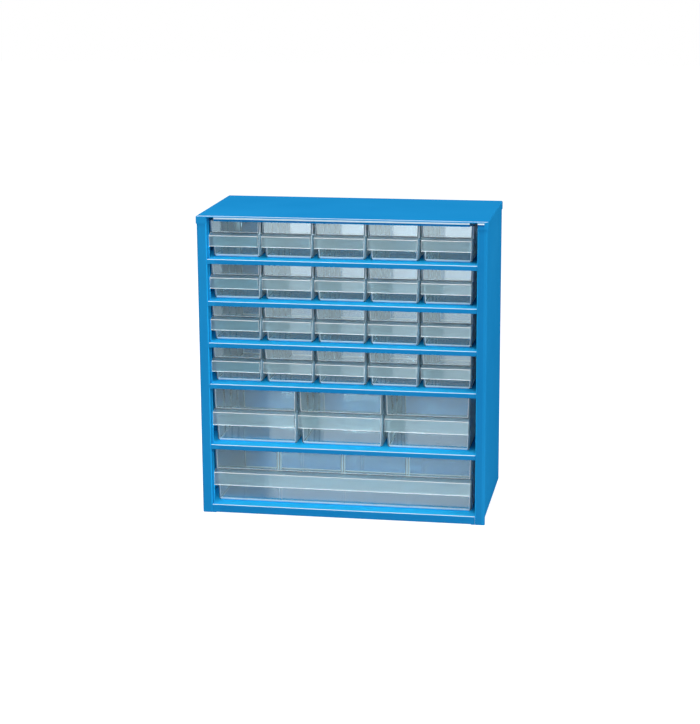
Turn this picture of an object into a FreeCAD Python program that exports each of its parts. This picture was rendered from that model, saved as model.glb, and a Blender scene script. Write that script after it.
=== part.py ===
import FreeCAD
import Part
import Sketcher
import math
import os
import re

# Parts bin cabinet: a housing folded from painted sheet steel, with five shelves and 24 moulded
# drawers in six rows. Rows 1 to 4 hold five small drawers each, row 5 three medium ones and row 6
# one wide one. Millimetres; the front faces -Y, +Z is up, and the origin is on the floor, midway
# between the sides and midway between front and back.

SMALL_ROWS = 4
SMALL_PER_ROW = 5
MEDIUM_PER_ROW = 3
WIDE_PER_ROW = 1
TALL_ROWS = 2
DIVIDER_COUNT = 3

# Driving dimensions: each is a cell of the sheet, under the name given here.
DRIVING = [
    ("housing_width", 306, "over the outer faces of the side panels"),
    ("cabinet_depth", 150, "over the cover, front to back"),
    ("steel_gauge", 0.8, "thickness of the sheet steel"),
    ("bend_radius", 1.5, "outer radius of every fold"),
    ("cut_overrun", 2, "how far a cut runs past what it cuts"),
    ("foot_height", 9, "floor to the top of the base pan"),
    ("small_pitch", 45, "height of a row of small drawers, shelf to shelf"),
    ("tall_pitch", 67, "height of a row of medium or wide drawers"),
    ("top_allowance", 1, "top of the first row to the top of the cover"),
    ("cover_lip", 8.5, "height of the cover's side and rear lips"),
    ("cover_tab_width", 11, "width of the cover's two front corner tabs"),
    ("front_lip_height", 5.4, "top of the cover to the lower edge of its front lip"),
    ("hem_height", 2.7, "height of the hem folded up on the front lip"),
    ("hem_margin", 8, "upright to the end of the front lip"),
    ("upright_width", 10.6, "width of the front flange of a side panel"),
    ("upright_return", 12, "depth of the return behind that flange"),
    ("foot_heel", 3, "how far a front foot runs back along the side wall"),
    ("foot_tab", 4, "width of the skirt's end that reaches the floor"),
    ("foot_step", 0.6, "floor to the skirt between its two ends"),
    ("shelf_lip", 5, "height of a shelf's front lip"),
    ("shelf_stop", 6, "height of a shelf's turned-up rear edge"),
    ("back_recess", 7, "rear edge of the housing to the back plate"),
    ("keyhole_radius", 5.25, "round part of a wall keyhole"),
    ("keyhole_slot", 5, "width of a keyhole's slot"),
    ("keyhole_rise", 9, "round part's centre to the top of the slot"),
    ("keyhole_inset", 10.5, "side of the housing to the keyhole's centre"),
    ("keyhole_drop", 32, "top of the cover to the keyhole's centre"),
    ("slide_clearance", 0.3, "drawer to the shelf under it and the stop behind it"),
    ("pass_clearance", 0.5, "drawer's rim to the lip that it passes under"),
    ("row_left_gap", 1, "left upright to the first drawer of a row"),
    ("neighbour_gap", 1.4, "drawer to drawer"),
    ("small_row_play", 5.7, "side play of a row of small drawers, both ends together"),
    ("medium_row_play", 7.3, "side play of the row of medium drawers"),
    ("wide_row_play", 4.8, "side play of the wide drawer"),
    ("drawer_wall", 1.5, "wall of every drawer"),
    ("drawer_corner", 2.5, "outer corner radius of every drawer"),
    ("drawer_taper", 1.8, "how far a drawer's side leans in from rim to floor"),
    ("lip_setback", 1, "uprights' face to the front of a drawer's pull"),
    ("front_setback", 10, "uprights' face to the drawer's upper front"),
    ("lower_setback", 17, "uprights' face to the drawer's lower front"),
    ("shoulder_rise", 2.6, "rise of the pull's sloping shoulder"),
    ("pull_inset", 1.2, "side of a drawer to the end of its pull"),
    ("pull_round", 0.5, "rounding of the pull's edges"),
    ("small_pull_top", 24.8, "floor of a small drawer to the top of its pull"),
    ("small_pull_height", 11.5, "height of that pull"),
    ("tall_pull_top", 35.5, "the same for the medium and wide drawers"),
    ("tall_pull_height", 14.2, "height of that pull"),
    ("ear_length", 20, "length of the raised ears at a drawer's rear corners"),
    ("ear_rise", 3.3, "height of those ears over the rim"),
    ("rib_width", 1, "thickness of a divider rib"),
    ("rib_depth", 1.5, "how far a divider rib stands out of the wall"),
    ("rib_pitch", 2.6, "centre to centre of a pair of divider ribs"),
    ("rib_drop", 4, "drawer's rim to the top of its divider ribs"),
]

# Sizes that follow from them, as formulas of the same sheet.
DERIVED = [
    ("small_rows_height", f"{SMALL_ROWS} * small_pitch"),
    ("tall_rows_height", f"{TALL_ROWS} * tall_pitch"),
    ("cabinet_height", "foot_height + tall_rows_height + small_rows_height + top_allowance"),
    ("inner_radius", "bend_radius - steel_gauge"),
    ("wall_face", "housing_width / 2 - steel_gauge"),
    ("cover_half", "housing_width / 2 + steel_gauge"),
    ("clear_half", "housing_width / 2 - upright_width"),
    ("clear_width", "2 * clear_half"),
    ("shell_face", "cabinet_depth / 2 - steel_gauge"),
    ("wall_end", "shell_face - inner_radius"),
    ("panel_top", "cabinet_height - steel_gauge - inner_radius"),
    ("return_end", "upright_return - shell_face"),
    ("plate_face", "shell_face - back_recess"),
    ("cover_skirt", "cabinet_height - cover_lip"),
    ("tab_edge", "cover_half - cover_tab_width"),
    ("lip_half", "clear_half - hem_margin"),
    ("lip_bottom", "cabinet_height - front_lip_height"),
    ("keyhole_height", "cabinet_height - keyhole_drop"),
    ("keyhole_place", "housing_width / 2 - keyhole_inset"),
    ("slot_radius", "keyhole_slot / 2"),
    ("slot_centre", "keyhole_height + keyhole_rise - slot_radius"),
    ("lip_face", "lip_setback - shell_face"),
    ("front_face", "front_setback - shell_face"),
    ("lower_face", "lower_setback - shell_face"),
    ("drawer_back", "plate_face - steel_gauge - slide_clearance"),
    ("small_rim", "small_pitch - shelf_lip - pass_clearance - slide_clearance"),
    ("tall_rim", "tall_pitch - shelf_lip - pass_clearance - slide_clearance"),
    ("small_step", "small_pull_top + shoulder_rise - drawer_wall"),
    ("tall_step", "tall_pull_top + shoulder_rise - drawer_wall"),
    ("small_gaps", f"{SMALL_PER_ROW - 1} * neighbour_gap"),
    ("small_width", f"(clear_width - small_row_play - small_gaps) / {SMALL_PER_ROW}"),
    ("medium_gaps", f"{MEDIUM_PER_ROW - 1} * neighbour_gap"),
    ("medium_width", f"(clear_width - medium_row_play - medium_gaps) / {MEDIUM_PER_ROW}"),
    ("wide_width", "clear_width - wide_row_play"),
]

NAMES = {row[0] for row in DRIVING + DERIVED}

doc = FreeCAD.newDocument("parts_bin_cabinet")
sizes = doc.addObject("Spreadsheet::Sheet", "sizes")


def of_sheet(formula, prefix="sizes."):
    """The formula with every named size read from the sheet."""
    return re.sub(r"[a-z_]+", lambda word: prefix * (word[0] in NAMES) + word[0], formula)


def value(formula):
    """The formula's present value, for placing geometry before it is bound."""
    return float(sizes.evalExpression(of_sheet(formula)))


def fill_sheet():
    """Writes the driving dimensions as plain numbers and the sizes that follow as formulas."""
    sizes.set("A1", "driving dimensions")
    for row, (name, number, meaning) in enumerate(DRIVING, 2):
        sizes.set(f"A{row}", name)
        sizes.set(f"B{row}", str(number))
        sizes.set(f"C{row}", meaning)
        sizes.setAlias(f"B{row}", name)
    for row, (name, formula) in enumerate(DERIVED, len(DRIVING) + 3):
        sizes.set(f"A{row}", name)
        sizes.set(f"B{row}", "=" + of_sheet(formula, ""))
        sizes.setAlias(f"B{row}", name)
    doc.recompute()


def new_body(name):
    """An empty body whose label names the piece."""
    body = doc.addObject("PartDesign::Body", name)
    body.Label = name
    return body


def new_sketch(body, name, plane, offset=None):
    """A sketch on one of the body's own planes, moved along its normal by a formula."""
    sketch = body.newObject("Sketcher::SketchObject", f"{body.Name}_{name}")
    ours = [o for o in body.Origin.OriginFeatures if o.Role == plane + "_Plane"]
    sketch.AttachmentSupport = [(ours[0], "")]
    sketch.MapMode = "FlatFace"
    if offset:
        sketch.setExpression("AttachmentOffset.Base.z", of_sheet(offset))
    return sketch


def bind(sketch, kind, line, end, formula):
    """Holds one coordinate of a line's end at a formula, measured from the sketch's origin."""
    axis = {"DistanceX": -2, "DistanceY": -1}[kind]
    if formula == "0":
        sketch.addConstraint(Sketcher.Constraint("PointOnObject", line, end, axis))
        return
    index = sketch.addConstraint(Sketcher.Constraint(kind, -1, 1, line, end, value(formula)))
    sketch.setExpression(f"Constraints[{index}]", of_sheet(formula))


def outline(sketch, corners):
    """Draws a closed outline through corners given as formulas (across, up)."""
    points = [FreeCAD.Vector(value(across), value(up), 0) for across, up in corners]
    count = len(points)
    first = sketch.GeometryCount
    for i in range(count):
        sketch.addGeometry(Part.LineSegment(points[i], points[(i + 1) % count]))
    for i, (across, up) in enumerate(corners):
        sketch.addConstraint(
            Sketcher.Constraint("Coincident", first + i, 2, first + (i + 1) % count, 1))
        bind(sketch, "DistanceX", first + i, 1, across)
        bind(sketch, "DistanceY", first + i, 1, up)


def rectangle(sketch, left, right, low, high):
    """Draws a rectangle between four formulas."""
    outline(sketch, [(left, low), (right, low), (right, high), (left, high)])


def disc(sketch, across, up, radius):
    """Draws a circle whose centre and radius are formulas."""
    centre = FreeCAD.Vector(value(across), value(up), 0)
    circle = sketch.addGeometry(Part.Circle(centre, FreeCAD.Vector(0, 0, 1), value(radius)))
    index = sketch.addConstraint(Sketcher.Constraint("Radius", circle, value(radius)))
    sketch.setExpression(f"Constraints[{index}]", of_sheet(radius))
    bind(sketch, "DistanceX", circle, 3, across)
    bind(sketch, "DistanceY", circle, 3, up)


def folded_outline(sketch, corners):
    """Draws the section of a folded sheet, whose edges are all level or upright.

    A corner is (across, up) where the sheet is cut and (across, up, radius) where it is folded.
    """
    count = len(corners)
    points = [FreeCAD.Vector(value(c[0]), value(c[1]), 0) for c in corners]
    radii = [value(c[2]) if len(c) > 2 else 0 for c in corners]

    def towards(start, end, distance):
        return points[start] + (points[end] - points[start]).normalize() * distance

    lines = []
    for i in range(count):
        j = (i + 1) % count
        line = Part.LineSegment(towards(i, j, radii[i]), towards(j, i, radii[j]))
        lines.append(sketch.addGeometry(line))
    for i in range(count):
        before, after = lines[i - 1], lines[i]
        if not radii[i]:
            sketch.addConstraint(Sketcher.Constraint("Coincident", before, 2, after, 1))
            continue
        start, end = towards(i, i - 1, radii[i]), towards(i, (i + 1) % count, radii[i])
        centre = start + end - points[i]
        turns_left = (points[i] - start).cross(end - points[i]).z > 0
        ends = (start, end) if turns_left else (end, start)
        angles = [math.atan2((p - centre).y, (p - centre).x) for p in ends]
        circle = Part.Circle(centre, FreeCAD.Vector(0, 0, 1), radii[i])
        arc = sketch.addGeometry(Part.ArcOfCircle(circle, *angles))
        enter, leave = (1, 2) if turns_left else (2, 1)
        sketch.addConstraint(Sketcher.Constraint("Tangent", before, 2, arc, enter))
        sketch.addConstraint(Sketcher.Constraint("Tangent", arc, leave, after, 1))
        index = sketch.addConstraint(Sketcher.Constraint("Radius", arc, radii[i]))
        sketch.setExpression(f"Constraints[{index}]", of_sheet(corners[i][2]))
    for i in range(count):
        here, there = corners[i], corners[(i + 1) % count]
        level = here[1] == there[1]
        sketch.addConstraint(Sketcher.Constraint("Horizontal" if level else "Vertical", lines[i]))
        if level:
            bind(sketch, "DistanceY", lines[i], 1, here[1])
        else:
            bind(sketch, "DistanceX", lines[i], 1, here[0])


def extrude(kind, sketch, length, symmetric=False, reverse=False):
    """A Pad or Pocket of the sketch, its length a formula."""
    body = sketch.getParentGeoFeatureGroup()
    feature = body.newObject("PartDesign::" + kind, f"{sketch.Name}_{kind.lower()}")
    feature.Profile = sketch
    feature.setExpression("Length", of_sheet(length))
    feature.SideType = "Symmetric" if symmetric else "One side"
    feature.Reversed = reverse
    sketch.Visibility = False
    return feature


def round_edges(body, name, radius, wanted):
    """Fillets the edges of the body's last feature for which wanted is true."""
    doc.recompute()
    base = body.Tip
    edges = [f"Edge{n}" for n, edge in enumerate(base.Shape.Edges, 1) if wanted(edge)]
    fillet = body.newObject("PartDesign::Fillet", f"{body.Name}_{name}")
    fillet.Base = (base, edges)
    fillet.setExpression("Radius", of_sheet(radius))
    return fillet


def hollow(body, name, wall, open_face):
    """Hollows the body to a wall, leaving open the face for which open_face is true."""
    doc.recompute()
    base = body.Tip
    faces = [f"Face{n}" for n, face in enumerate(base.Shape.Faces, 1) if open_face(face)]
    shell = body.newObject("PartDesign::Thickness", f"{body.Name}_{name}")
    shell.Base = (base, faces)
    shell.setExpression("Value", of_sheet(wall))
    shell.Join = "Intersection"
    shell.Reversed = True
    return shell


def lies_at(shape, axis, formula):
    """Whether the whole shape lies in the plane where that coordinate has the formula's value."""
    box = shape.BoundBox
    low, high = getattr(box, axis + "Min"), getattr(box, axis + "Max")
    place = value(formula)
    return abs(low - place) + abs(high - place) < value("steel_gauge") / 100


def make_side_panel():
    """The left side: wall, front upright and its return, folded from one sheet."""
    body = new_body("left_side_panel")
    section = new_sketch(body, "section", "XY")
    folded_outline(section, [
        ("-housing_width / 2", "wall_end"),
        ("-housing_width / 2", "-shell_face", "bend_radius"),
        ("-clear_half", "-shell_face", "bend_radius"),
        ("-clear_half", "return_end"),
        ("-clear_half - steel_gauge", "return_end"),
        ("-clear_half - steel_gauge", "steel_gauge - shell_face", "inner_radius"),
        ("-wall_face", "steel_gauge - shell_face", "inner_radius"),
        ("-wall_face", "wall_end"),
    ])
    extrude("Pad", section, "panel_top")
    # The wall ends level with the underside of the base pan; only the upright reaches the floor.
    below = new_sketch(body, "below_wall", "XY")
    rectangle(below, "-housing_width / 2 - cut_overrun", "-wall_face + cut_overrun",
              "foot_heel - shell_face", "shell_face + cut_overrun")
    extrude("Pocket", below, "foot_height - steel_gauge", reverse=True)
    return body


def make_right_panel(left):
    """The right side is the left one mirrored."""
    panel = doc.addObject("Part::Mirroring", "right_side_panel")
    panel.Label = "right_side_panel"
    panel.Source = left
    panel.Normal = (1, 0, 0)
    return panel


def make_cover():
    """The tray on top: side and rear lips, two front corner tabs, a front lip with a hem."""
    body = new_body("top_cover")
    tray = new_sketch(body, "tray", "XY", "cover_skirt")
    rectangle(tray, "-cover_half", "cover_half", "-cabinet_depth / 2", "cabinet_depth / 2")
    extrude("Pad", tray, "cover_lip")
    round_edges(body, "folds", "bend_radius", lambda edge: not lies_at(edge, "Z", "cover_skirt"))
    hollow(body, "sheet", "steel_gauge", lambda face: lies_at(face, "Z", "cover_skirt"))
    # The front side of the tray is cut back to its two corner tabs.
    mouth = new_sketch(body, "mouth", "XZ", "shell_face")
    rectangle(mouth, "-tab_edge", "tab_edge",
              "cover_skirt - cut_overrun", "cabinet_height - bend_radius")
    extrude("Pocket", mouth, "steel_gauge + cut_overrun", reverse=True)
    # Between the tabs a lip hangs from the plate, one sheet behind the front, and turns up in a hem.
    lip = new_sketch(body, "lip", "XZ", "shell_face - steel_gauge")
    rectangle(lip, "-lip_half", "lip_half", "lip_bottom", "cabinet_height - steel_gauge")
    extrude("Pad", lip, "steel_gauge")
    hem = new_sketch(body, "hem", "XZ", "shell_face")
    rectangle(hem, "-lip_half", "lip_half", "lip_bottom", "lip_bottom + hem_height")
    extrude("Pad", hem, "steel_gauge")
    return body


def cut_ends(body, name, rear, front, length, symmetric=False):
    """Cuts a strip off both ends of a folded floor, where the side panels' folds stand."""
    for side, left, right in (("left", "-wall_face - cut_overrun", "-clear_half"),
                              ("right", "clear_half", "wall_face + cut_overrun")):
        end = new_sketch(body, f"{name}_{side}", "XY")
        rectangle(end, left, right, front, rear)
        extrude("Pocket", end, length, symmetric=symmetric, reverse=not symmetric)


def make_base():
    """The base pan: the lowest floor, a front skirt with a foot at each end, and a rear skirt."""
    body = new_body("base_pan")
    section = new_sketch(body, "section", "YZ")
    folded_outline(section, [
        ("-shell_face", "0"),
        ("-shell_face", "foot_height", "bend_radius"),
        ("plate_face", "foot_height", "bend_radius"),
        ("plate_face", "0"),
        ("plate_face - steel_gauge", "0"),
        ("plate_face - steel_gauge", "foot_height - steel_gauge", "inner_radius"),
        ("steel_gauge - shell_face", "foot_height - steel_gauge", "inner_radius"),
        ("steel_gauge - shell_face", "0"),
    ])
    extrude("Pad", section, "2 * wall_face", symmetric=True)
    cut_ends(body, "notch", "return_end", "-cabinet_depth / 2",
             "2 * (foot_height + cut_overrun)", symmetric=True)
    # Between its two ends the front skirt stops just short of the floor.
    relief = new_sketch(body, "relief", "XZ", "shell_face - bend_radius")
    rectangle(relief, "foot_tab - clear_half", "clear_half - foot_tab", "-cut_overrun", "foot_step")
    extrude("Pocket", relief, "bend_radius + cut_overrun", reverse=True)
    # The rear skirt ends level with the uprights, clear of the side walls.
    cut_ends(body, "skirt_end", "plate_face + cut_overrun", "plate_face - bend_radius",
             "foot_height - bend_radius")
    return body


def make_back():
    """The back tray: a plate set in from the rear, with its edges folded back and two keyholes."""
    body = new_body("back_panel")
    tray = new_sketch(body, "tray", "XZ", "-shell_face")
    rectangle(tray, "-wall_face", "wall_face", "foot_height - steel_gauge", "panel_top")
    extrude("Pad", tray, "back_recess")
    round_edges(body, "folds", "bend_radius", lambda edge: not lies_at(edge, "Y", "shell_face"))
    cavity = new_sketch(body, "cavity", "XZ", "-shell_face")
    folded_outline(cavity, [
        ("steel_gauge - wall_face", "foot_height", "inner_radius"),
        ("wall_face - steel_gauge", "foot_height", "inner_radius"),
        ("wall_face - steel_gauge", "panel_top - steel_gauge", "inner_radius"),
        ("steel_gauge - wall_face", "panel_top - steel_gauge", "inner_radius"),
    ])
    extrude("Pocket", cavity, "back_recess - steel_gauge", reverse=True)
    round_edges(body, "inner_folds", "inner_radius",
                lambda edge: lies_at(edge, "Y", "plate_face + steel_gauge"))
    for side, sign in (("left", "-"), ("right", "")):
        centre = sign + "keyhole_place"
        hole = new_sketch(body, f"keyhole_{side}", "XZ", "-shell_face")
        disc(hole, centre, "keyhole_height", "keyhole_radius")
        extrude("Pocket", hole, "back_recess + cut_overrun", reverse=True)
        slot = new_sketch(body, f"slot_{side}", "XZ", "-shell_face")
        rectangle(slot, centre + " - slot_radius", centre + " + slot_radius",
                  "keyhole_height", "slot_centre")
        extrude("Pocket", slot, "back_recess + cut_overrun", reverse=True)
        slot_end = new_sketch(body, f"slot_end_{side}", "XZ", "-shell_face")
        disc(slot_end, centre, "slot_centre", "slot_radius")
        extrude("Pocket", slot_end, "back_recess + cut_overrun", reverse=True)
    return body


def make_shelf():
    """A shelf at floor level: front lip, plate and the turned-up edge that stops the drawers."""
    body = new_body("shelf_pattern")
    section = new_sketch(body, "section", "YZ")
    folded_outline(section, [
        ("-shell_face", "-shelf_lip"),
        ("-shell_face", "0", "bend_radius"),
        ("plate_face - steel_gauge", "0", "inner_radius"),
        ("plate_face - steel_gauge", "shelf_stop"),
        ("plate_face", "shelf_stop"),
        ("plate_face", "-steel_gauge", "bend_radius"),
        ("steel_gauge - shell_face", "-steel_gauge", "inner_radius"),
        ("steel_gauge - shell_face", "-shelf_lip"),
    ])
    extrude("Pad", section, "2 * wall_face", symmetric=True)
    cut_ends(body, "notch", "return_end", "-cabinet_depth / 2",
             "2 * (shelf_lip + cut_overrun)", symmetric=True)
    return body


def make_tub(body, width, rim, step):
    """The drawer's tub: sides that lean in towards the floor, and a front set back under a step."""
    tub = new_sketch(body, "tub", "XZ", "-drawer_back")
    outline(tub, [
        (f"drawer_taper - {width} / 2", "0"), (f"{width} / 2 - drawer_taper", "0"),
        (f"{width} / 2", rim), (f"-{width} / 2", rim),
    ])
    extrude("Pad", tub, "drawer_back - front_face")
    under = new_sketch(body, "under_pull", "YZ")
    rectangle(under, "front_face - cut_overrun", "lower_face", "-cut_overrun", step)
    extrude("Pocket", under, f"{width} + 2 * cut_overrun", symmetric=True)
    round_edges(body, "corners", "drawer_corner", lambda edge: not (
        lies_at(edge, "Z", rim) or lies_at(edge, "Z", step)))
    # The cavity follows the tub's outside at one wall's distance, with its own step in front.
    for part, rear, floor, depth in (
        ("low", "drawer_back - drawer_wall", "drawer_wall",
         "drawer_back - lower_face - 2 * drawer_wall"),
        ("high", "lower_face + drawer_wall", f"({step} + drawer_wall)", "lower_face - front_face"),
    ):
        lean = f"drawer_taper * (1 - {floor} / {rim})"
        cavity = new_sketch(body, f"cavity_{part}", "XZ", f"-({rear})")
        outline(cavity, [
            (f"{lean} + drawer_wall - {width} / 2", floor),
            (f"{width} / 2 - drawer_wall - {lean}", floor),
            (f"{width} / 2 - drawer_wall", rim),
            (f"drawer_wall - {width} / 2", rim),
        ])
        extrude("Pocket", cavity, depth, reverse=True)
    round_edges(body, "inner_corners", "drawer_corner - drawer_wall", lambda edge: (
        lies_at(edge, "Z", "drawer_wall")
        or lies_at(edge, "Y", "drawer_back - drawer_wall") and not lies_at(edge, "Z", rim)
        or lies_at(edge, "Y", "front_face + drawer_wall")
        and not (lies_at(edge, "Z", rim) or lies_at(edge, "Z", f"{step} + drawer_wall"))
        or lies_at(edge, "Y", "lower_face + drawer_wall")
        and edge.BoundBox.ZMax < value(step) + value("drawer_wall") / 2))


def add_pull(body, width, step, pull_top, pull_height):
    """The pull: a shoulder that slopes forward from the front, and a lip that hangs from it."""
    slope = "shoulder_rise / (front_setback - lip_setback)"
    under_lip = f"{pull_top} - drawer_wall + drawer_wall * {slope}"
    pull = new_sketch(body, "pull", "YZ")
    outline(pull, [
        ("front_face + drawer_wall / 2", f"{pull_top} + shoulder_rise"),
        ("front_face", f"{pull_top} + shoulder_rise"),
        ("lip_face", pull_top),
        ("lip_face", f"{pull_top} - {pull_height}"),
        ("lip_face + drawer_wall", f"{pull_top} - {pull_height}"),
        ("lip_face + drawer_wall", under_lip),
        ("front_face", step),
        ("front_face + drawer_wall / 2", step),
    ])
    extrude("Pad", pull, f"{width} - 2 * pull_inset", symmetric=True)
    round_edges(body, "pull_edges", "pull_round", lambda edge: (
        lies_at(edge, "Y", "lip_face")
        or lies_at(edge, "Z", f"{pull_top} - {pull_height}")))


def add_ears(body, width, rim):
    """Raised ears at the rear corners, which meet the lip above when the drawer is pulled out."""
    for side, inner in (("left", f"-{width} / 2"), ("right", f"{width} / 2 - drawer_wall")):
        ear = new_sketch(body, f"ear_{side}", "YZ", inner)
        rectangle(ear, "drawer_back - ear_length", "drawer_back",
                  f"{rim} - drawer_wall", f"{rim} + ear_rise")
        extrude("Pad", ear, "drawer_wall")


def rib_edges():
    """The two ribs of each pair: a name and the formula from the divider's middle to the rib's."""
    for divider in range(1, DIVIDER_COUNT + 1):
        share = f"{divider} / {DIVIDER_COUNT + 1}"
        yield f"{divider}_a", share, "- rib_pitch / 2"
        yield f"{divider}_b", share, "+ rib_pitch / 2"


def add_end_ribs(body, width, rim, step):
    """Pairs of ribs on the front and back walls, which hold dividers that run front to back."""
    for name, share, offset in rib_edges():
        place = f"{width} * ({share} - 1 / 2) {offset} - rib_width / 2"
        rib = new_sketch(body, f"rib_{name}", "YZ", place)
        outline(rib, [
            ("lower_face + drawer_wall / 2", "drawer_wall / 2"),
            ("lower_face + drawer_wall + rib_depth", "drawer_wall / 2"),
            ("lower_face + drawer_wall + rib_depth", f"{rim} - rib_drop"),
            ("front_face + drawer_wall / 2", f"{rim} - rib_drop"),
            ("front_face + drawer_wall / 2", f"{step} + drawer_wall / 2"),
            ("lower_face + drawer_wall / 2", f"{step} + drawer_wall / 2"),
        ])
        rectangle(rib, "drawer_back - drawer_wall - rib_depth", "drawer_back - drawer_wall / 2",
                  "drawer_wall / 2", f"{rim} - rib_drop")
        extrude("Pad", rib, "rib_width")


def add_side_ribs(body, width, rim):
    """Pairs of ribs on the two side walls, which hold dividers that run across."""
    low, high = "drawer_wall / 2", f"({rim} - rib_drop)"
    foot, head = (f"drawer_taper * (1 - {height} / {rim})" for height in (low, high))
    root, edge = "drawer_wall / 2", "(drawer_wall + rib_depth)"
    for name, share, offset in rib_edges():
        place = f"lower_face + (drawer_back - lower_face) * {share} {offset} + rib_width / 2"
        rib = new_sketch(body, f"rib_{name}", "XZ", f"-({place})")
        for sign in ("-", ""):
            outline(rib, [
                (f"{sign}({width} / 2 - {root} - {foot})", low),
                (f"{sign}({width} / 2 - {edge} - {foot})", low),
                (f"{sign}({width} / 2 - {edge} - {head})", high),
                (f"{sign}({width} / 2 - {root} - {head})", high),
            ])
        extrude("Pad", rib, "rib_width")


def make_drawer(name, width, height, end_ribs=False):
    """A drawer standing on z = 0, its pull and rim those of the small or the tall drawers."""
    body = new_body(name)
    rim, step = f"{height}_rim", f"{height}_step"
    make_tub(body, width, rim, step)
    add_pull(body, width, step, f"{height}_pull_top", f"{height}_pull_height")
    add_ears(body, width, rim)
    if end_ribs:
        add_end_ribs(body, width, rim, step)
    else:
        add_side_ribs(body, width, rim)
    return body


def copy_of(pattern, name, up, across=None):
    """A body of its own with the pattern's shape, raised and moved across by formulas."""
    body = new_body(name)
    clone = body.newObject("PartDesign::FeatureBase", name + "_clone")
    clone.BaseFeature = pattern
    body.Tip = clone
    body.setExpression("Placement.Base.z", of_sheet(up))
    if across:
        body.setExpression("Placement.Base.x", of_sheet(across))
    return body


def row_floor(row):
    """Height of the floor under a row, counted from 1 at the top."""
    small, tall = min(row, SMALL_ROWS), max(row - SMALL_ROWS, 0)
    return f"cabinet_height - top_allowance - {small} * small_pitch - {tall} * tall_pitch"


fill_sheet()
left_panel = make_side_panel()
pieces = [make_cover(), make_base(), left_panel, make_right_panel(left_panel), make_back()]

shelf = make_shelf()
for number in range(1, SMALL_ROWS + TALL_ROWS):
    pieces.append(copy_of(shelf, f"shelf_{number}", row_floor(number)))

small = make_drawer("small_drawer_pattern", "small_width", "small")
medium = make_drawer("medium_drawer_pattern", "medium_width", "tall")
wide = make_drawer("wide_drawer_pattern", "wide_width", "tall", end_ribs=True)
rows = [(small, "small_width", SMALL_PER_ROW)] * SMALL_ROWS
rows += [(medium, "medium_width", MEDIUM_PER_ROW), (wide, "wide_width", WIDE_PER_ROW)]
for row, (pattern, width, count) in enumerate(rows, 1):
    up = row_floor(row) + " + slide_clearance"
    for column in range(count):
        across = f"row_left_gap - clear_half + {width} / 2 + {column} * ({width} + neighbour_gap)"
        pieces.append(copy_of(pattern, f"drawer_r{row}c{column + 1}", up, across))

doc.recompute()
for thing in doc.Objects:
    if "Invalid" in thing.State or "Error" in thing.State:
        raise RuntimeError(f"{thing.Label} didn't compute")
for piece in pieces:
    if piece.Shape.isNull() or not piece.Shape.isValid() or len(piece.Shape.Solids) != 1:
        raise RuntimeError(f"{piece.Label} isn't one valid solid")

os.makedirs("parts", exist_ok=True)
for piece in pieces:
    piece.Shape.exportStep(f"parts/{piece.Label}.step")
print(f"{len(pieces)} pieces, {value('cabinet_height'):g} mm tall")
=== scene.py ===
"""A parts bin cabinet: a blue powder-coated steel housing with clear moulded drawers in six rows."""

import math

import bmesh
import bpy
from mathutils import Matrix, Vector


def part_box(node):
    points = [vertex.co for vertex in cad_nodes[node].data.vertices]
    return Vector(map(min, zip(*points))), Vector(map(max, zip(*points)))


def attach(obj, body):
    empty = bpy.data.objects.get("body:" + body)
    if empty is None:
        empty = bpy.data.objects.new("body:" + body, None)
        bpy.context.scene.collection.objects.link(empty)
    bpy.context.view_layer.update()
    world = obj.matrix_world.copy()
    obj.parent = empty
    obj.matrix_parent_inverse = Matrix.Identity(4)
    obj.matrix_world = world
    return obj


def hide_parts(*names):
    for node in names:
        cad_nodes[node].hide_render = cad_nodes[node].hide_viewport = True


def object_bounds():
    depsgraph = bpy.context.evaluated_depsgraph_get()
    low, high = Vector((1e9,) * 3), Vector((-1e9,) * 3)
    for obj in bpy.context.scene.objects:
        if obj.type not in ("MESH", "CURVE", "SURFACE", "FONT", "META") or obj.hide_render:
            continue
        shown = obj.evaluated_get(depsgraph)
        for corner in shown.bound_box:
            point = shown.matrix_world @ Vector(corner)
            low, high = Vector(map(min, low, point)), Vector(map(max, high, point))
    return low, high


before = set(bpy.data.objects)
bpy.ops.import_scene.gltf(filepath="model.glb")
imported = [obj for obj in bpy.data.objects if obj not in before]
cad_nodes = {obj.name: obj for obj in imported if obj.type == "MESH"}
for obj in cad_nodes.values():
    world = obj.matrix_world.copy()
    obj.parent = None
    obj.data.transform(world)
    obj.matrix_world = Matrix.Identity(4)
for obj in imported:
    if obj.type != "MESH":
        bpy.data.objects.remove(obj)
cad_low, cad_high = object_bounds()


# The photographer's place: a long lens a little above the cabinet and to the right of its middle,
# turned to take in the front, the top and the right side at once.
eye = (0.3533, -2.0119, 0.6362)
eye_turn, eye_dip, eye_roll = 10.06, 13.26, -0.33
lens_length = 95.8
nearest, farthest = 0.05, 50.0

camera_data = bpy.data.cameras.new("camera")
camera_data.lens = lens_length
camera_data.clip_start, camera_data.clip_end = nearest, farthest
camera = bpy.data.objects.new("camera", camera_data)
bpy.context.scene.collection.objects.link(camera)
camera.matrix_world = (
    Matrix.Translation(eye)
    @ Matrix.Rotation(math.radians(eye_turn), 4, "Z")
    @ Matrix.Rotation(math.radians(90 - eye_dip), 4, "X")
    @ Matrix.Rotation(math.radians(eye_roll), 4, "Z")
)
bpy.context.scene.camera = camera
bpy.context.scene.view_settings.view_transform = "Standard"


# The light: a long soft box overhead lights the top and the shelves' front strips, two panels beside
# the camera reach into the drawers, and one on the right lifts the side.
cabinet_middle = (0.0, 0.0, 0.15)


def hang_lamp(name, place, aim, width, height, power):
    data = bpy.data.lights.new(name, "AREA")
    data.shape, data.size, data.size_y, data.energy = "RECTANGLE", width, height, power
    lamp = bpy.data.objects.new(name, data)
    bpy.context.scene.collection.objects.link(lamp)
    lamp.location = place
    lamp.rotation_mode = "QUATERNION"
    lamp.rotation_quaternion = (Vector(aim) - Vector(place)).to_track_quat("-Z", "Y")


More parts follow.
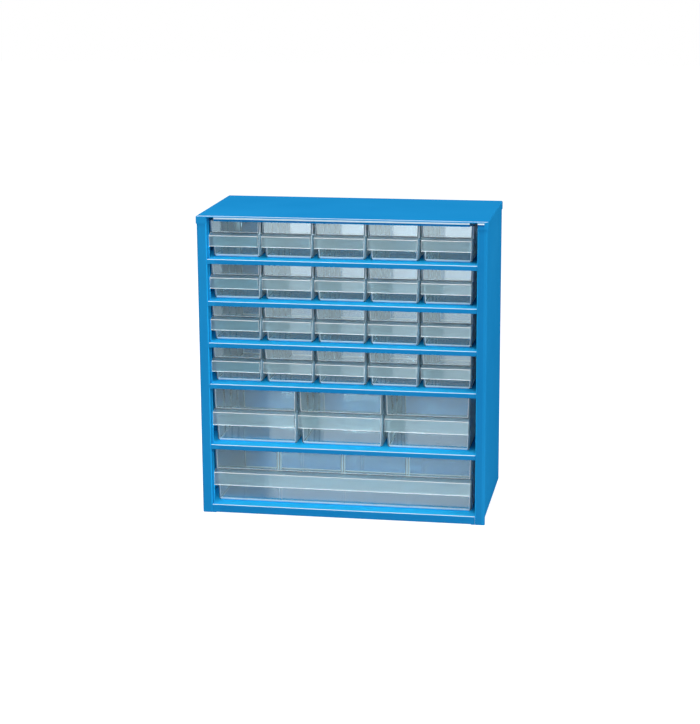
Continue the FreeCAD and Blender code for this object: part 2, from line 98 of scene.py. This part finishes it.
hang_lamp("overhead_strip", (-0.25, -0.42, 1.75), (0.0, -0.05, 0.15), width=1.8, height=0.35, power=19)
hang_lamp("front_left_panel", (-0.45, -2.4, 0.75), cabinet_middle, width=0.35, height=0.5, power=6.5)
hang_lamp("front_right_panel", (0.9, -2.4, 0.75), cabinet_middle, width=1.0, height=0.8, power=6.0)
hang_lamp("side_panel", (2.2, -0.8, 1.0), (0.1, 0.0, 0.15), width=1.0, height=1.0, power=19)


# The room: white paper under and behind the cabinet. What the camera, a gloss or clear plastic sees
# of it is white, and the paper still takes the cabinet's faint shadow. A gloss sees the paper a little
# bluer, as the clear drawers reflect it.
room_light, room_tone = 0.30, (0.97, 0.985, 1.0, 1)
white = (1, 1, 1, 1)
paper_size, paper_drop = 12.0, 0.0002
paper_bounce, paper_shade, paper_glow = (0.8, 0.8, 0.8, 1), (0.45, 0.45, 0.45, 1), 0.90
paper_in_gloss = (0.74, 0.98, 1.12, 1)


def maths(tree, operation, *inputs):
    node = tree.nodes.new("ShaderNodeMath")
    node.operation = operation
    for i, value in enumerate(inputs):
        if isinstance(value, (int, float)):
            node.inputs[i].default_value = value
        else:
            tree.links.new(value, node.inputs[i])
    return node.outputs[0]


def blend_colours(tree, factor, first, second):
    mix = tree.nodes.new("ShaderNodeMix")
    mix.data_type = "RGBA"
    tree.links.new(factor, mix.inputs[0])
    for slot, colour in ((mix.inputs[6], first), (mix.inputs[7], second)):
        if isinstance(colour, tuple):
            slot.default_value = colour
        else:
            tree.links.new(colour, slot)
    return mix.outputs[2]


def blend_shaders(tree, factor, first, second, end):
    mix = tree.nodes.new("ShaderNodeMixShader")
    for i, source in enumerate((factor, first.outputs[0], second.outputs[0])):
        tree.links.new(source, mix.inputs[i])
    tree.links.new(mix.outputs[0], end.inputs[0])


def seen_ray(tree):
    path = tree.nodes.new("ShaderNodeLightPath")
    direct = maths(tree, "MAXIMUM", path.outputs["Is Camera Ray"], path.outputs["Is Glossy Ray"])
    return maths(tree, "MAXIMUM", direct, path.outputs["Is Transmission Ray"])


world = bpy.data.worlds.new("room")
bpy.context.scene.world = world
world.use_nodes = True
tree = world.node_tree
tree.nodes.clear()
lit = tree.nodes.new("ShaderNodeBackground")
lit.inputs["Color"].default_value = room_tone
lit.inputs["Strength"].default_value = room_light
seen = tree.nodes.new("ShaderNodeBackground")
seen.inputs["Color"].default_value = white
blend_shaders(tree, seen_ray(tree), lit, seen, tree.nodes.new("ShaderNodeOutputWorld"))

half = paper_size / 2
paper_mesh = bpy.data.meshes.new("paper_floor")
paper_mesh.from_pydata(
    [(x, y, -paper_drop) for x, y in ((-half, -half), (half, -half), (half, half), (-half, half))],
    [],
    [(0, 1, 2, 3)],
)
paper = bpy.data.objects.new("paper_floor", paper_mesh)
bpy.context.scene.collection.objects.link(paper)
paper_skin = bpy.data.materials.new("white_paper")
paper_skin.use_nodes = True
tree = paper_skin.node_tree
tree.nodes.clear()
bounce = tree.nodes.new("ShaderNodeBsdfDiffuse")
bounce.inputs["Color"].default_value = paper_bounce
shade = tree.nodes.new("ShaderNodeBsdfDiffuse")
shade.inputs["Color"].default_value = paper_shade
glow = tree.nodes.new("ShaderNodeEmission")
glow.inputs["Strength"].default_value = paper_glow
glossy_ray = tree.nodes.new("ShaderNodeLightPath").outputs["Is Glossy Ray"]
tree.links.new(blend_colours(tree, glossy_ray, white, paper_in_gloss), glow.inputs["Color"])
seen = tree.nodes.new("ShaderNodeAddShader")
tree.links.new(shade.outputs[0], seen.inputs[0])
tree.links.new(glow.outputs[0], seen.inputs[1])
blend_shaders(tree, seen_ray(tree), bounce, seen, tree.nodes.new("ShaderNodeOutputMaterial"))
paper_mesh.materials.append(paper_skin)


# The base pan: the housing's lowest floor, folded from 0.8 mm steel sheet with a hem and a skirt. All
# the sheets are powder coated in one bright blue, semi-gloss with a fine orange peel, and a painted
# highlight lies along the folds that face upwards.
body_blues = (0.011, 0.254, 0.590, 1), (0.015, 0.280, 0.630, 1)
coat_roughness, highlight_coat_roughness = (0.27, 0.34), 0.2
peel_strength, peel_depth = 0.10, 0.0002
peel_fine, peel_broad = 1100.0, 9.0
cloud_range = (0.3, 0.7)
# Painted tones: a near-white highlight for the folds and the hem's edge, lighter blues as painted
# light on the opening's front strips, its inner walls and the uprights' inner folds, and a dark blue
# as painted shade under the hem.
fold_highlight_tint, lit_strip_blue, lit_wall_blue = (0.80, 0.93, 0.96, 1), (0.025, 0.50, 0.94, 1), (0.025, 0.55, 1.0, 1)
hem_shade_blue, lit_upright_blue = (0.003, 0.10, 0.33, 1), (0.015, 0.40, 0.84, 1)
fold_bend, fold_start, fold_full = (0.15, 0.32), 0.62, 0.80
level_rise, upright_turn, upright_lean = (0.5, 0.8), (0.2, 0.5), (-0.5, -0.25)
hem_shade_depth, cover_fold_highlight_strength = (0.2, 0.9), (1.0, 0.7)


def past(edge, start, end):
    return edge + start, edge + end


# The places of the tones, from where each begins to where it is full or gone, by the housing's box.
front_y, side_x, top_z = cad_low.y, cad_high.x, cad_high.z
opening_half, opening_top = side_x - 0.0016, top_z - 0.0065
strip_start, strip_end = past(front_y, 0.0006, 0.0012), past(front_y, 0.025, 0.045)
wall_start, wall_end = past(front_y, 0.005, 0.013), past(front_y, 0.045, 0.095)
wall_inside, upright_inside = past(side_x, -0.0133, -0.0118), past(side_x, -0.0083, -0.0068)
hem_front, hem_left, hem_right = front_y + 0.0026, 0.0194 - side_x, side_x - 0.0043
hem_highlight_low, hem_highlight_high = past(top_z, -0.0032, -0.0030), past(top_z, -0.0018, -0.0015)
hem_shade_low, hem_shade_high = past(top_z, -0.0060, -0.0037), past(top_z, -0.0034, -0.0032)
cover_fold_height = past(top_z, -0.0018, -0.0014)


def socket(group, name, kind, inward, value=None):
    made = group.interface.new_socket(
        name=name, in_out="INPUT" if inward else "OUTPUT", socket_type=kind
    )
    if value is not None:
        made.default_value = value


def ramp(tree, value, start, end, low=0.0, high=1.0, kind="SMOOTHSTEP"):
    node = tree.nodes.new("ShaderNodeMapRange")
    node.interpolation_type = kind
    settings = {"Value": value, "From Min": start, "From Max": end, "To Min": low, "To Max": high}
    for name, what in settings.items():
        if isinstance(what, (int, float)):
            node.inputs[name].default_value = what
        else:
            tree.links.new(what, node.inputs[name])
    return node.outputs[0]


def fade(tree, value, start, end, full=1.0):
    return ramp(tree, value, start, end, full, 0.0)


def spread(tree, cloud, low, high):
    return ramp(tree, cloud, *cloud_range, low, high, "LINEAR")


def product(tree, *factors):
    result = factors[0]
    for factor in factors[1:]:
        result = maths(tree, "MULTIPLY", result, factor)
    return result


def size_of(tree, value):
    return maths(tree, "ABSOLUTE", value)


def split(tree, vector):
    parts = tree.nodes.new("ShaderNodeSeparateXYZ")
    tree.links.new(vector, parts.inputs[0])
    return parts.outputs["X"], parts.outputs["Y"], parts.outputs["Z"]


def place_and_facing(tree):
    here = tree.nodes.new("ShaderNodeTexCoord")
    return split(tree, here.outputs["Object"]), split(tree, here.outputs["Normal"])


# A painted highlight along the folds that face upwards.
def fold_highlight_group():
    group = bpy.data.node_groups.new("painted_highlight_on_folds", "ShaderNodeTree")
    socket(group, "Start", "NodeSocketFloat", True, 0.52)
    socket(group, "Full", "NodeSocketFloat", True, 0.68)
    socket(group, "Mask", "NodeSocketFloat", False)
    put, get = group.nodes.new("NodeGroupOutput"), group.nodes.new("NodeGroupInput")
    here = group.nodes.new("ShaderNodeTexCoord")
    _, lean, rise = split(group, here.outputs["Normal"])
    bent = ramp(group, size_of(group, lean), *fold_bend, kind="LINEAR")
    risen = ramp(group, rise, get.outputs["Start"], get.outputs["Full"])
    group.links.new(product(group, bent, risen), put.inputs["Mask"])
    return group


def grain_group():
    group = bpy.data.node_groups.new("surface_grain", "ShaderNodeTree")
    socket(group, "Fine", "NodeSocketFloat", True, 900.0)
    socket(group, "Broad", "NodeSocketFloat", True, 14.0)
    socket(group, "Height", "NodeSocketFloat", False)
    socket(group, "Cloud", "NodeSocketFloat", False)
    put, get = group.nodes.new("NodeGroupOutput"), group.nodes.new("NodeGroupInput")
    here = group.nodes.new("ShaderNodeTexCoord")
    for size, result, detail in (("Fine", "Height", 3.0), ("Broad", "Cloud", 2.0)):
        noise = group.nodes.new("ShaderNodeTexNoise")
        noise.inputs["Detail"].default_value = detail
        group.links.new(here.outputs["Object"], noise.inputs["Vector"])
        group.links.new(get.outputs[size], noise.inputs["Scale"])
        group.links.new(noise.outputs["Fac"], put.inputs[result])
    return group


def use_group(tree, group, **values):
    node = tree.nodes.new("ShaderNodeGroup")
    node.node_tree = group
    for name, value in values.items():
        node.inputs[name].default_value = value
    return node


def new_finish(name):
    material = bpy.data.materials.new(name)
    material.use_nodes = True
    return material, material.node_tree, material.node_tree.nodes["Principled BSDF"].inputs


def roughen(tree, height, strength, depth):
    bump = tree.nodes.new("ShaderNodeBump")
    bump.inputs["Strength"].default_value = strength
    bump.inputs["Distance"].default_value = depth
    tree.links.new(height, bump.inputs["Height"])
    tree.links.new(bump.outputs[0], tree.nodes["Principled BSDF"].inputs["Normal"])


fold_highlight_tree = fold_highlight_group()
grain = grain_group()
paint, tree, coat = new_finish("blue_powder_coat")
skin = use_group(tree, grain, Fine=peel_fine, Broad=peel_broad)
fold_highlight = use_group(tree, fold_highlight_tree, Start=fold_start, Full=fold_full)
(x, y, z), (turn, lean, rise) = place_and_facing(tree)
blue = blend_colours(tree, spread(tree, skin.outputs["Cloud"], 0.0, 1.0), *body_blues)

# Painted light, as from the overhead lamp, on the strips along the opening's front and on the side
# walls behind them.
in_opening = product(
    tree,
    maths(tree, "LESS_THAN", size_of(tree, x), opening_half),
    maths(tree, "LESS_THAN", z, opening_top),
)
lit_front_strip = product(
    tree,
    ramp(tree, y, *strip_start),
    fade(tree, y, *strip_end),
    in_opening,
    ramp(tree, rise, *level_rise),
)
blue = blend_colours(tree, lit_front_strip, blue, lit_strip_blue)
lit_inner_wall = product(
    tree,
    ramp(tree, size_of(tree, x), *wall_inside),
    fade(tree, y, *wall_end),
    ramp(tree, y, *wall_start),
    in_opening,
)
blue = blend_colours(tree, lit_inner_wall, blue, lit_wall_blue)

# The cover's front hem has a painted highlight along its upper edge and painted shade on the face
# below it.
cover_front = product(
    tree,
    maths(tree, "LESS_THAN", y, hem_front),
    maths(tree, "GREATER_THAN", x, hem_left),
    maths(tree, "LESS_THAN", x, hem_right),
)
hem_highlight = product(
    tree, cover_front, ramp(tree, z, *hem_highlight_low), fade(tree, z, *hem_highlight_high)
)
hem_shade = product(
    tree,
    cover_front,
    ramp(tree, z, *hem_shade_low, *hem_shade_depth),
    fade(tree, z, *hem_shade_high),
)
blue = blend_colours(tree, hem_shade, blue, hem_shade_blue)

# Painted light makes the uprights' inner folds a lighter blue, and a painted highlight lies on all
# folds that face upwards.
lit_upright_fold = product(
    tree,
    ramp(tree, size_of(tree, turn), *upright_turn),
    fade(tree, lean, *upright_lean),
    fade(tree, size_of(tree, x), *upright_inside),
)
blue = blend_colours(tree, lit_upright_fold, blue, lit_upright_blue)
fold_highlight_strength = ramp(tree, z, *cover_fold_height, *cover_fold_highlight_strength)
fold_and_hem_highlight = maths(tree, "MAXIMUM", product(tree, fold_highlight.outputs["Mask"], fold_highlight_strength), hem_highlight)
tree.links.new(blend_colours(tree, fold_and_hem_highlight, blue, fold_highlight_tint), coat["Base Color"])
tree.links.new(spread(tree, skin.outputs["Cloud"], *coat_roughness), coat["Roughness"])
tree.links.new(fold_and_hem_highlight, coat["Coat Weight"])
coat["Coat Roughness"].default_value = highlight_coat_roughness
coat["Specular IOR Level"].default_value = 0.0
roughen(tree, skin.outputs["Height"], peel_strength, peel_depth)


def coat_sheet(name):
    sheet = cad_nodes[name]
    sheet.data.materials.clear()
    sheet.data.materials.append(paint)


coat_sheet("base_pan")


# The side panels: two mirrored steel sheets, each folded into a wall, a front upright with a return
# and a rear flange. The base pan, the shelves and the back panel join them.
for side in ("left", "right"):
    coat_sheet(side + "_side_panel")


# The back panel: a shallow steel tray between the side panels' rear flanges. Two keyholes near its
# upper corners hang the cabinet on a wall.
coat_sheet("back_panel")


# The shelves: five steel sheets that carry the upper rows of drawers. Each has a turned-down lip in
# front, which stiffens it and stops the drawers below it from sliding out.
shelf_count = 5
for shelf in range(1, shelf_count + 1):
    coat_sheet(f"shelf_{shelf}")


# The top cover: one steel panel with a rear skirt and side flanges, which closes the housing. Its
# front edge is folded down and hemmed, between two corner tabs.
coat_sheet("top_cover")


# The small drawers: four rows of five. Like every drawer, each is one moulding in clear, slightly
# smoky plastic, with a stepped front, a hollow pull and eased edges where the mould's halves meet;
# the eased edges carry a painted highlight.
smokes, flow_fine, flow_broad = ((0.75, 0.95, 1.0, 1), (0.81, 0.97, 1.0, 1)), 260.0, 30.0
clearness, bending = 0.94, 1.40
ripple_strength, ripple_depth = 0.02, 0.0001
clear_haze, side_haze, pull_haze = (0.01, 0.03), 0.38, 0.28
side_turn, pull_back = (0.75, 0.9), (0.05, 0.06)
clear_to_lamps, edge_to_lamps = (0.96, 0.985, 0.995, 1), (0.9, 0.95, 0.97, 1)
# Painted shade for the small drawers' low fronts and the first column's pulls.
low_front_shade, first_pull_shade = (0.36, 0.68, 0.78, 1), (0.60, 0.88, 0.96, 1)
front_back = (0.10, 0.14)
upper_from, low_until = (0.56, 0.62), (0.24, 0.3)
small_rows_from, large_rows_until, top_row_from = (0.14, 0.17), (0.1, 0.14), (0.265, 0.285)
# The gleam is a painted reflection: the front walls turn paler and take a strong coat where it lies.
under_gleam, gleam_bending, gleam_roughness = (0.86, 0.98, 1.0, 1), 3.2, 0.05
gleam_edge = 0.03
first_band_end, first_band_share, left_share = (0.18, 0.25), 0.3, 0.5
upper_from_large, upper_large_to_small = (0.14, 0.18), (0.12, 0.55)
upper_to_top, upper_gain = (0.2, 0.31), (0.0, 0.6)
pull_share, low_share, lower_rows_share = 0.2, 0.65, (0.82, 1.0)
gain_rows, forward_lean = (0.2, 0.3), (0.5, 0.8)
shoulder_rise, shoulder_share = (0.2, 0.5), (0.0, 0.29)
# Painted shade for the flanks of the ribs.
rib_flank_shade, flank_lean = (0.03, 0.06, 0.08, 1), (0.6, 0.8)
flank_start, flank_end = (0.14, 0.18), (0.88, 0.92)
flank_upper, flank_share, flank_without_line = (0.5, 0.6), (0.25, 1.0), 0.15
# Painted highlights for the eased edges, and painted shade for the upright ones but the upper parts'
# sides.
shining = (0.90, 0.96, 0.98, 1), (0.98, 0.99, 1.0, 1)
dim_upright, lit_upright = (0.18, 0.28, 0.34, 1), (0.95, 0.98, 1.0, 1)
edge_broad, edge_roughness, edge_clearness, edge_gloss = 60.0, (0.12, 0.2), 0.1, 0.2
edge_upright, edge_rows = (0.08, 0.25), (0.16, 0.31)
edge_ease, join_within = 0.00026, 0.000002
sharp_angle, flat_angle = math.radians(35), math.radians(0.3)
front_depth, rim_drop, front_skin = 0.024, 0.002, 0.0001
nose_skin, pull_skin, pull_top_skin, side_skin = 0.0006, 0.004, 0.001, 0.004
least_edge, least_breadth, hair = 0.002, 0.001, 1e-6
narrow_length, narrow_breadth = 0.004, 0.0006
rib_length, rib_breadth = 0.008, 0.0012
squarely, fully = 0.7, 0.9
side_kind = 2
no_line = 2.0
small_gleam = {1: no_line, 2: 0.56, 3: 0.54, 4: 0.5, 5: 0.46}
small_rows = 4


def let_lamps_through(material, colour):
    tree = material.node_tree
    open_way = tree.nodes.new("ShaderNodeBsdfTransparent")
    open_way.inputs["Color"].default_value = colour
    lamp_ray = tree.nodes.new("ShaderNodeLightPath").outputs["Is Shadow Ray"]
    plastic = tree.nodes["Principled BSDF"]
    blend_shaders(tree, lamp_ray, plastic, open_way, tree.nodes["Material Output"])


def stored(tree, name):
    attribute = tree.nodes.new("ShaderNodeAttribute")
    attribute.attribute_name = name
    return attribute.outputs


def opposite(tree, value):
    return maths(tree, "SUBTRACT", 1.0, value)


clear, tree, plastic = new_finish("clear_moulded_plastic")
flow = use_group(tree, grain, Fine=flow_fine, Broad=flow_broad)
across, back, share = split(tree, stored(tree, "place")["Vector"])
gleam_from = stored(tree, "gleam_from")["Fac"]
(_, _, height), (turn, lean, rise) = place_and_facing(tree)

# The front wall has an upper part, the pull and a low part. Each carries a painted reflection to the
# right of a line that stands elsewhere in each column. The first column of small drawers has no such
# line.
front = fade(tree, back, *front_back)
upper_zone = ramp(tree, share, *upper_from)
low_zone = fade(tree, share, *low_until)
pull_zone = maths(tree, "SUBTRACT", opposite(tree, upper_zone), low_zone)
small_row = ramp(tree, height, *small_rows_from)
has_line = maths(tree, "LESS_THAN", gleam_from, 1.0)
gleaming = ramp(
    tree,
    across,
    maths(tree, "SUBTRACT", gleam_from, gleam_edge),
    maths(tree, "ADD", gleam_from, gleam_edge),
)

# The painted reflection is stronger on the upper parts towards the top row, lies on the pulls
# everywhere but in the top row, and on the low parts only in the two rows of large drawers.
first_band = product(
    tree, opposite(tree, has_line), fade(tree, across, *first_band_end, first_band_share)
)
left_part = product(tree, opposite(tree, gleaming), has_line, left_share)
beside_line = product(tree, small_row, maths(tree, "ADD", left_part, first_band))
upper_level = maths(
    tree,
    "ADD",
    ramp(tree, height, *upper_from_large, *upper_large_to_small),
    ramp(tree, height, *upper_to_top, *upper_gain),
)
upper_gleam = product(tree, upper_zone, upper_level, maths(tree, "ADD", gleaming, beside_line))
lower_gleam = maths(
    tree,
    "ADD",
    product(tree, pull_zone, fade(tree, height, *top_row_from, pull_share)),
    product(tree, low_zone, fade(tree, height, *large_rows_until, low_share)),
)
level = maths(tree, "ADD", upper_gleam, product(tree, gleaming, lower_gleam))
level = product(tree, level, ramp(tree, height, *gain_rows, *lower_rows_share))
forward = ramp(tree, size_of(tree, lean), *forward_lean)
shoulder = ramp(tree, rise, *shoulder_rise, *shoulder_share)
gleam = product(tree, front, maths(tree, "MAXIMUM", product(tree, forward, level), shoulder))

# Painted shade darkens the smoky plastic in the small drawers' low parts and in the first column's
# pulls, and makes it nearly black on the flanks of the ribs inside, where the light turns away.
smoke_and_shade = blend_colours(tree, spread(tree, flow.outputs["Cloud"], 0.0, 1.0), *smokes)
smoke_and_shade = blend_colours(tree, product(tree, low_zone, small_row, front), smoke_and_shade, low_front_shade)
first_pull = product(tree, opposite(tree, has_line), pull_zone, front)
smoke_and_shade = blend_colours(tree, first_pull, smoke_and_shade, first_pull_shade)
flank = product(
    tree,
    ramp(tree, size_of(tree, lean), *flank_lean),
    ramp(tree, back, *flank_start),
    fade(tree, back, *flank_end),
    ramp(tree, share, *flank_upper, *flank_share),
    maths(tree, "MAXIMUM", has_line, flank_without_line),
)
smoke_and_shade = blend_colours(tree, flank, smoke_and_shade, rib_flank_shade)
tree.links.new(blend_colours(tree, gleam, smoke_and_shade, under_gleam), plastic["Base Color"])
tree.links.new(gleam, plastic["Coat Weight"])
plastic["Coat IOR"].default_value = gleam_bending
plastic["Coat Roughness"].default_value = gleam_roughness

# The side walls and the pulls are a little hazy, and the rest is clear.
on_sides = product(tree, ramp(tree, size_of(tree, turn), *side_turn), side_haze)
haze = maths(tree, "MAXIMUM", on_sides, fade(tree, back, *pull_back, pull_haze))
fine_haze = spread(tree, flow.outputs["Cloud"], *clear_haze)
tree.links.new(maths(tree, "ADD", haze, fine_haze), plastic["Roughness"])
plastic["Transmission Weight"].default_value = clearness
plastic["IOR"].default_value = bending
roughen(tree, flow.outputs["Height"], ripple_strength, ripple_depth)
let_lamps_through(clear, clear_to_lamps)

# The eased edges that lie level carry a painted highlight; the upright ones carry painted shade, but
# for the upper parts' sides, which carry a painted highlight.
bright, tree, plastic = new_finish("shining_plastic_edge")
flow = use_group(tree, grain, Fine=flow_fine, Broad=edge_broad)
(_, _, height), (turn, _, _) = place_and_facing(tree)
shine = blend_colours(tree, spread(tree, flow.outputs["Cloud"], 0.0, 1.0), *shining)
on_upper_side = maths(tree, "GREATER_THAN", stored(tree, "rounded")["Fac"], side_kind - 0.5)
upper_side = product(tree, ramp(tree, height, *edge_rows), on_upper_side)
dim = blend_colours(tree, upper_side, dim_upright, lit_upright)
upright = ramp(tree, size_of(tree, turn), *edge_upright)
tree.links.new(blend_colours(tree, upright, shine, dim), plastic["Base Color"])
tree.links.new(spread(tree, flow.outputs["Cloud"], *edge_roughness), plastic["Roughness"])
plastic["Transmission Weight"].default_value = edge_clearness
plastic["Specular IOR Level"].default_value = edge_gloss
let_lamps_through(bright, edge_to_lamps)


def cut_faces(work, faces, point, normal):
    lines = {line for face in faces for line in face.edges}
    corners = {corner for face in faces for corner in face.verts}
    bmesh.ops.bisect_plane(
        work, geom=faces + list(lines) + list(corners), plane_co=point, plane_no=normal
    )


def wants_easing(line, front, rim_height, nose, pull_low, pull_high):
    reach = line.calc_length()
    breadth = min(face.calc_area() for face in line.link_faces) / max(reach, hair)
    if line.calc_face_angle(0.0) <= sharp_angle or reach <= least_edge or breadth <= least_breadth:
        return False
    ends = [corner.co for corner in line.verts]
    middle = (ends[0] + ends[1]) / 2
    faces_front = min(face.normal.y for face in line.link_faces) < -squarely
    faces_up = max(face.normal.z for face in line.link_faces) > squarely
    behind_pull = pull_low < middle.z < pull_high and middle.y > nose + pull_skin
    in_front = max(end.y for end in ends) < front and faces_front and not behind_pull
    return in_front or (min(end.z for end in ends) > rim_height and faces_up)


def shining_kind(face, front, middle_x, half_width, pull_high):
    longest = max(line.calc_length() for line in face.edges)
    breadth = face.calc_area() / max(longest, hair)
    upper = min(corner.co.z for corner in face.verts) > pull_high - pull_top_skin
    outermost = max(abs(corner.co.x - middle_x) for corner in face.verts) > half_width - side_skin
    in_front = max(corner.co.y for corner in face.verts) < front
    if upper and outermost and abs(face.normal.x) > squarely and in_front:
        return side_kind
    narrow = longest > narrow_length and breadth < narrow_breadth
    rib_end = upper and longest > rib_length and breadth < rib_breadth and face.normal.y > fully
    return int(narrow or rib_end)


def plain_faces(source, front, rim_height):
    shape = source.copy()
    shape.materials.clear()
    work = bmesh.new()
    work.from_mesh(shape)
    bmesh.ops.remove_doubles(work, verts=work.verts[:], dist=join_within)
    bmesh.ops.dissolve_limit(work, angle_limit=flat_angle, verts=work.verts[:], edges=work.edges[:])
    left, right = (pick(corner.co.x for corner in work.verts) for pick in (min, max))
    nose = min(corner.co.y for corner in work.verts)
    pull = [corner.co.z for corner in work.verts if corner.co.y < nose + nose_skin]
    pull_low, pull_high = min(pull), max(pull)
    for height in (pull_low, pull_high):
        fronts = [face for face in work.faces if max(corner.co.y for corner in face.verts) < front]
        cut_faces(work, fronts, (0, 0, height), (0, 0, 1))
    walls = [face for face in work.faces if abs(face.normal.x) > squarely]
    cut_faces(work, walls, (0, front - front_skin, 0), (0, 1, 0))
    ease = work.edges.layers.float.new("bevel_weight_edge")
    kind = work.faces.layers.int.new("rounded")
    for line in work.edges:
        if wants_easing(line, front, rim_height, nose, pull_low, pull_high):
            line[ease] = 1.0
        line.smooth = line.calc_face_angle(0.0) < sharp_angle
    for face in work.faces:
        face[kind] = shining_kind(face, front, (left + right) / 2, (right - left) / 2, pull_high)
    work.to_mesh(shape)
    work.free()
    return shape


def moulding_tree():
    group = bpy.data.node_groups.new("moulding", "GeometryNodeTree")
    socket(group, "Geometry", "NodeSocketGeometry", True)
    socket(group, "Low corner", "NodeSocketVector", True, (0, 0, 0))
    socket(group, "Size", "NodeSocketVector", True, (1, 1, 1))
    socket(group, "Gleam from", "NodeSocketFloat", True, 0.5)
    socket(group, "Geometry", "NodeSocketGeometry", False)
    new, link = group.nodes.new, group.links.new
    get, put = new("NodeGroupInput"), new("NodeGroupOutput")
    where = new("GeometryNodeInputPosition")
    offset, share = new("ShaderNodeVectorMath"), new("ShaderNodeVectorMath")
    offset.operation, share.operation = "SUBTRACT", "DIVIDE"
    keep, mark = new("GeometryNodeStoreNamedAttribute"), new("GeometryNodeStoreNamedAttribute")
    keep.data_type, keep.domain = "FLOAT_VECTOR", "POINT"
    keep.inputs["Name"].default_value = "place"
    mark.data_type, mark.domain = "FLOAT", "POINT"
    mark.inputs["Name"].default_value = "gleam_from"
    smooth = new("GeometryNodeSetShadeSmooth")
    real = new("GeometryNodeRealizeInstances")
    finish, shine = new("GeometryNodeSetMaterial"), new("GeometryNodeSetMaterial")
    finish.inputs["Material"].default_value = clear
    shine.inputs["Material"].default_value = bright
    narrow = new("GeometryNodeInputNamedAttribute")
    narrow.data_type = "INT"
    narrow.inputs["Name"].default_value = "rounded"
    link(where.outputs[0], offset.inputs[0])
    link(get.outputs["Low corner"], offset.inputs[1])
    link(offset.outputs[0], share.inputs[0])
    link(get.outputs["Size"], share.inputs[1])
    link(get.outputs["Geometry"], keep.inputs["Geometry"])
    link(share.outputs[0], keep.inputs["Value"])
    link(keep.outputs[0], mark.inputs["Geometry"])
    link(get.outputs["Gleam from"], mark.inputs["Value"])
    link(mark.outputs[0], smooth.inputs["Geometry"])
    link(smooth.outputs[0], real.inputs[0])
    link(real.outputs[0], finish.inputs["Geometry"])
    link(finish.outputs[0], shine.inputs["Geometry"])
    link(narrow.outputs["Attribute"], shine.inputs["Selection"])
    link(shine.outputs[0], put.inputs[0])
    return group


def set_inputs(modifier, values):
    for item in modifier.node_group.interface.items_tree:
        if item.item_type == "SOCKET" and item.in_out == "INPUT" and item.name in values:
            modifier[item.identifier] = values[item.name]


moulding = moulding_tree()


def mould_drawer(body, gleam_start):
    low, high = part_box(body)
    shape = plain_faces(cad_nodes[body].data, low.y + front_depth, high.z - rim_drop)
    drawer = bpy.data.objects.new(body + "_moulding", shape)
    bpy.context.scene.collection.objects.link(drawer)
    joined = drawer.modifiers.new("moulding", "NODES")
    joined.node_group = moulding
    size = tuple(end - start for start, end in zip(low, high))
    set_inputs(joined, {"Low corner": tuple(low), "Size": size, "Gleam from": gleam_start})
    shape.materials.append(clear)
    shape.materials.append(bright)
    eased = drawer.modifiers.new("eased_edges", "BEVEL")
    eased.width, eased.segments = edge_ease, 2
    eased.limit_method, eased.use_clamp_overlap = "WEIGHT", False
    eased.material = 1
    facets = drawer.modifiers.new("true_flats", "WEIGHTED_NORMAL")
    facets.keep_sharp = True
    graph = bpy.context.evaluated_depsgraph_get()
    cast = bpy.data.meshes.new_from_object(drawer.evaluated_get(graph), depsgraph=graph)
    drawer.modifiers.clear()
    drawer.data = cast
    cast.name = body + "_moulding"
    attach(drawer, body)
    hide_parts(body)


for row in range(1, small_rows + 1):
    for column, gleam_start in small_gleam.items():
        mould_drawer(f"drawer_r{row}c{column}", gleam_start)


# The medium drawers: one row of three taller mouldings in the same clear plastic, with the same
# stepped front and ribs on their side walls for loose dividers.
medium_gleam = {1: 0.657, 2: 0.264, 3: 0.25}
for column, gleam_start in medium_gleam.items():
    mould_drawer(f"drawer_r5c{column}", gleam_start)


# The wide drawer: one moulding across the whole opening, in the same clear plastic. Three pairs of
# ribs on its front and back walls hold dividers that run front to back.
wide_gleam = 0.21
mould_drawer("drawer_r6c1", wide_gleam)
